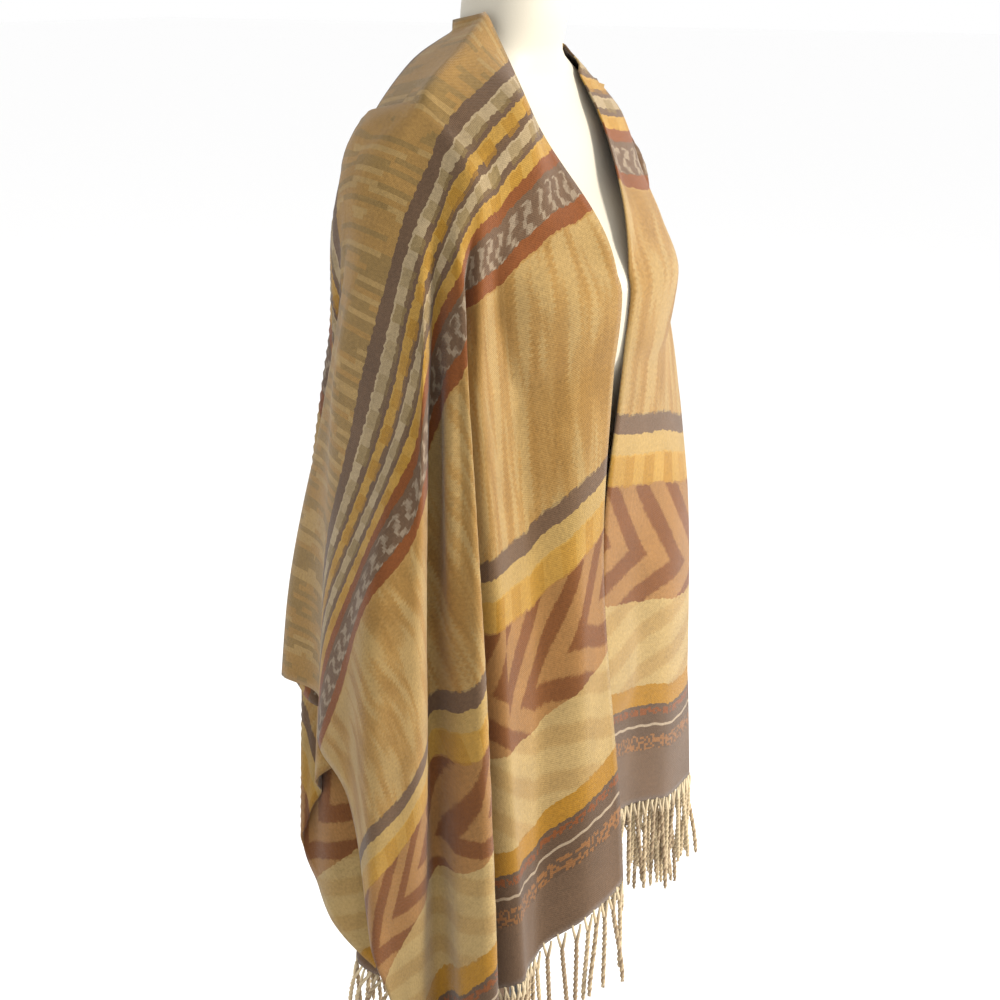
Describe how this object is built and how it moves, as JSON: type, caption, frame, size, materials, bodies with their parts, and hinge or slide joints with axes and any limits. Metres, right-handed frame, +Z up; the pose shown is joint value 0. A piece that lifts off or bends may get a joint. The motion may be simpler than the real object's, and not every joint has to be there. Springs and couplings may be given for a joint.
{
  "type": "ruana on a dress form",
  "caption": "Open-fronted woven wrap with fringed hems and ikat-patterned borders, draped in folds on a limbless dress form on a pole stand.",
  "frame": {"origin": "centre of the underside of the base plate, on the floor", "axes": "+Z up along the pole; the form faces -Y; the form's right shoulder is at -X"},
  "size_m": [0.6003, 0.3403, 1.5443],
  "materials": {
    "woven_cloth": "matte woven wool, camel ground with ikat bands",
    "fringe": "matte twisted wool strands",
    "form_cover": "smooth satin cream cover",
    "stand_metal": "black satin"
  },
  "bodies": {
    "root": {"right_front_panel": "woven_cloth", "left_front_panel": "woven_cloth", "back_panel": "woven_cloth", "right_front_fringe": "fringe", "left_front_fringe": "fringe", "back_fringe": "fringe", "dress_form": "form_cover", "neck_cap": "stand_metal", "pole_socket": "stand_metal", "pole": "stand_metal", "base_plate": "stand_metal"}
  },
  "joints": []
}
